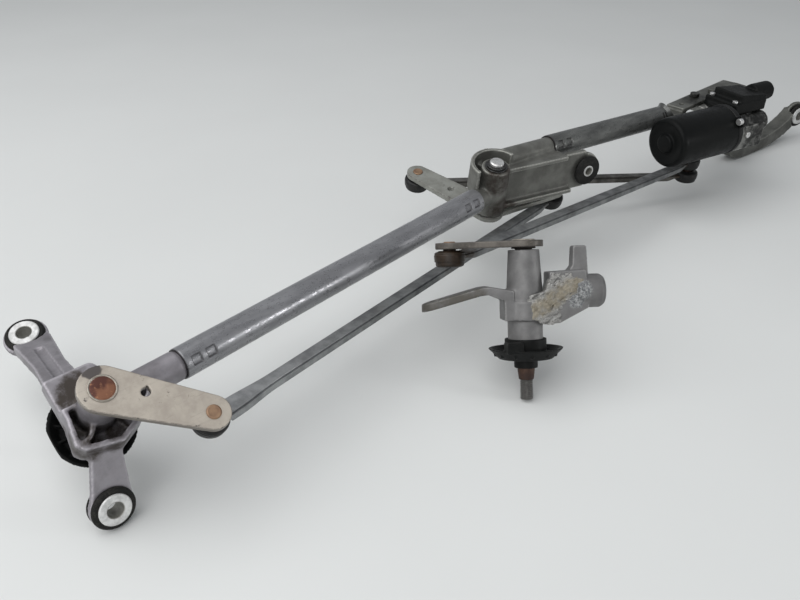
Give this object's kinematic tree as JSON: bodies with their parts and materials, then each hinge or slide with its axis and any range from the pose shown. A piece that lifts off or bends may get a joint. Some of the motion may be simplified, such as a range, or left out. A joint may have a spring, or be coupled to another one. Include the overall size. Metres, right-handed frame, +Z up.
{
  "type": "windscreen wiper linkage",
  "caption": "Broken windscreen wiper linkage: tube frame with motor, crank, rocker, pressed rods and levers, cast pivots on rubber mounts, one pivot snapped off",
  "frame": {"origin": "centre of the box on the table below the object", "axes": "X runs from the left pivot to the far mount past the motor, Y away from the viewer, Z up"},
  "size_m": [0.9726, 0.2928, 0.1145],
  "materials": {
    "cast_metal": "die-cast, dull grey",
    "tube_paint": "grey, satin",
    "zinc_steel": "zinc-plated, yellowed",
    "rod_steel": "pressed sheet, dull",
    "rusty_steel": "rust on bare steel",
    "rubber": "matte black",
    "bright_steel": "bright plated",
    "dark_steel": "dark",
    "black_plastic": "matte black",
    "black_paint": "black, semi-gloss",
    "bare_aluminium": "cast, bare",
    "bronze": "sintered",
    "gear_plastic": "off-white",
    "brown_plastic": "matte brown"
  },
  "bodies": {
    "frame": {"left_housing": "cast_metal", "left_bushes": "bronze", "left_cowl_flange": "black_plastic", "left_upper_rubber": "rubber", "left_upper_insert": "bright_steel", "left_lower_rubber": "rubber", "left_lower_insert": "bright_steel", "long_tube": "tube_paint", "short_tube": "tube_paint", "centre_bracket": "cast_metal", "centre_bushes": "bronze", "centre_rubber": "rubber", "centre_insert": "bright_steel", "motor_bracket": "cast_metal", "bracket_screws": "bright_steel", "far_rubber": "rubber", "far_insert": "bright_steel", "motor_can": "black_paint", "motor_magnets": "dark_steel", "brush_ring": "brown_plastic", "gear_housing": "bare_aluminium", "gear_cover": "black_plastic", "gear_screws": "bright_steel"},
    "left_lever_body": {"left_spindle": "rusty_steel", "left_lever": "zinc_steel", "left_ball_stud": "rusty_steel"},
    "left_rod_body": {"left_rod": "rod_steel", "left_rod_sockets": "black_plastic", "left_rod_boots": "rubber", "rocker_out_stud": "rusty_steel"},
    "rocker": {"rocker_lever": "zinc_steel", "rocker_shaft": "bright_steel", "rocker_washer": "bright_steel", "rocker_circlip": "dark_steel", "rocker_drive_stud": "rusty_steel"},
    "drive_rod_body": {"drive_rod": "rod_steel", "drive_rod_sockets": "black_plastic", "drive_rod_boots": "rubber", "drive_rod_crank_stud": "rusty_steel"},
    "crank": {"worm_wheel": "gear_plastic", "output_shaft": "bright_steel", "crank_arm": "zinc_steel", "crank_nut": "bright_steel"},
    "armature": {"armature_shaft": "bright_steel", "armature_core": "dark_steel", "commutator": "bronze"},
    "right_rod_body": {"right_rod": "rod_steel", "right_rod_sockets": "black_plastic", "right_rod_boots": "rubber", "right_rod_crank_stud": "rusty_steel"},
    "right_lever_body": {"right_spindle": "rusty_steel", "right_lever": "zinc_steel", "right_ball_stud": "rusty_steel"},
    "right_unit": {"right_housing": "cast_metal", "right_bushes": "bronze", "right_cowl_flange": "black_plastic"}
  },
  "joints": [
    {"name": "rocker_swing", "type": "hinge", "parent": "frame", "child": "rocker", "pos_m": [-0.0636, 0.02345, 0.077], "axis": [-0.1022, -0.2079, 0.9728], "range_deg": [-40, 0]},
    {"name": "left_swing", "type": "hinge", "parent": "frame", "child": "left_lever_body", "pos_m": [-0.4586, -0.00945, 0.0729], "axis": [0, -0.5736, 0.8192], "range_deg": [-36, 0]},
    {"name": "left_rod_turn", "type": "hinge", "parent": "left_lever_body", "child": "left_rod_body", "pos_m": [-0.41007, -0.0563, 0.06573], "axis": [-0.0817, -0.6513, 0.7544], "range_deg": [0, 34]},
    {"name": "drive_rod_turn", "type": "hinge", "parent": "rocker", "child": "drive_rod_body", "pos_m": [-0.07443, 0.10939, 0.06134], "axis": [-0.0444, -0.199, 0.979], "range_deg": [0, 42]},
    {"name": "crank_turn", "type": "hinge", "parent": "frame", "child": "crank", "pos_m": [0.26116, -0.03071, 0.0795], "axis": [0, 0, 1], "continuous": true},
    {"name": "armature_spin", "type": "hinge", "parent": "frame", "child": "armature", "pos_m": [0.1471, -0.02555, 0.0795], "axis": [0.9711, -0.2385, 0], "continuous": true},
    {"name": "right_rod_swing", "type": "hinge", "parent": "frame", "child": "right_rod_body", "pos_m": [0.21178, -0.02288, 0.0398], "axis": [0, 0, 1], "range_deg": [0, 8]},
    {"name": "right_lever_swing", "type": "hinge", "parent": "right_rod_body", "child": "right_lever_body", "pos_m": [-0.18435, -0.04031, 0.08195], "axis": [0.3174, 0.3864, 0.866], "range_deg": [-15, 0]},
    {"name": "right_unit_turn", "type": "hinge", "parent": "right_lever_body", "child": "right_unit", "pos_m": [-0.16471, -0.09852, 0.07648], "axis": [0.3174, 0.3864, 0.866], "range_deg": [-10, 30]}
  ],
  "couplings": [
    {"joint": "left_swing", "follows": "rocker_swing", "ratio": 0.7878},
    {"joint": "left_rod_turn", "follows": "rocker_swing", "ratio": -0.7281},
    {"joint": "drive_rod_turn", "follows": "rocker_swing", "ratio": -0.9902},
    {"joint": "armature_spin", "follows": "crank_turn", "ratio": 44}
  ]
}
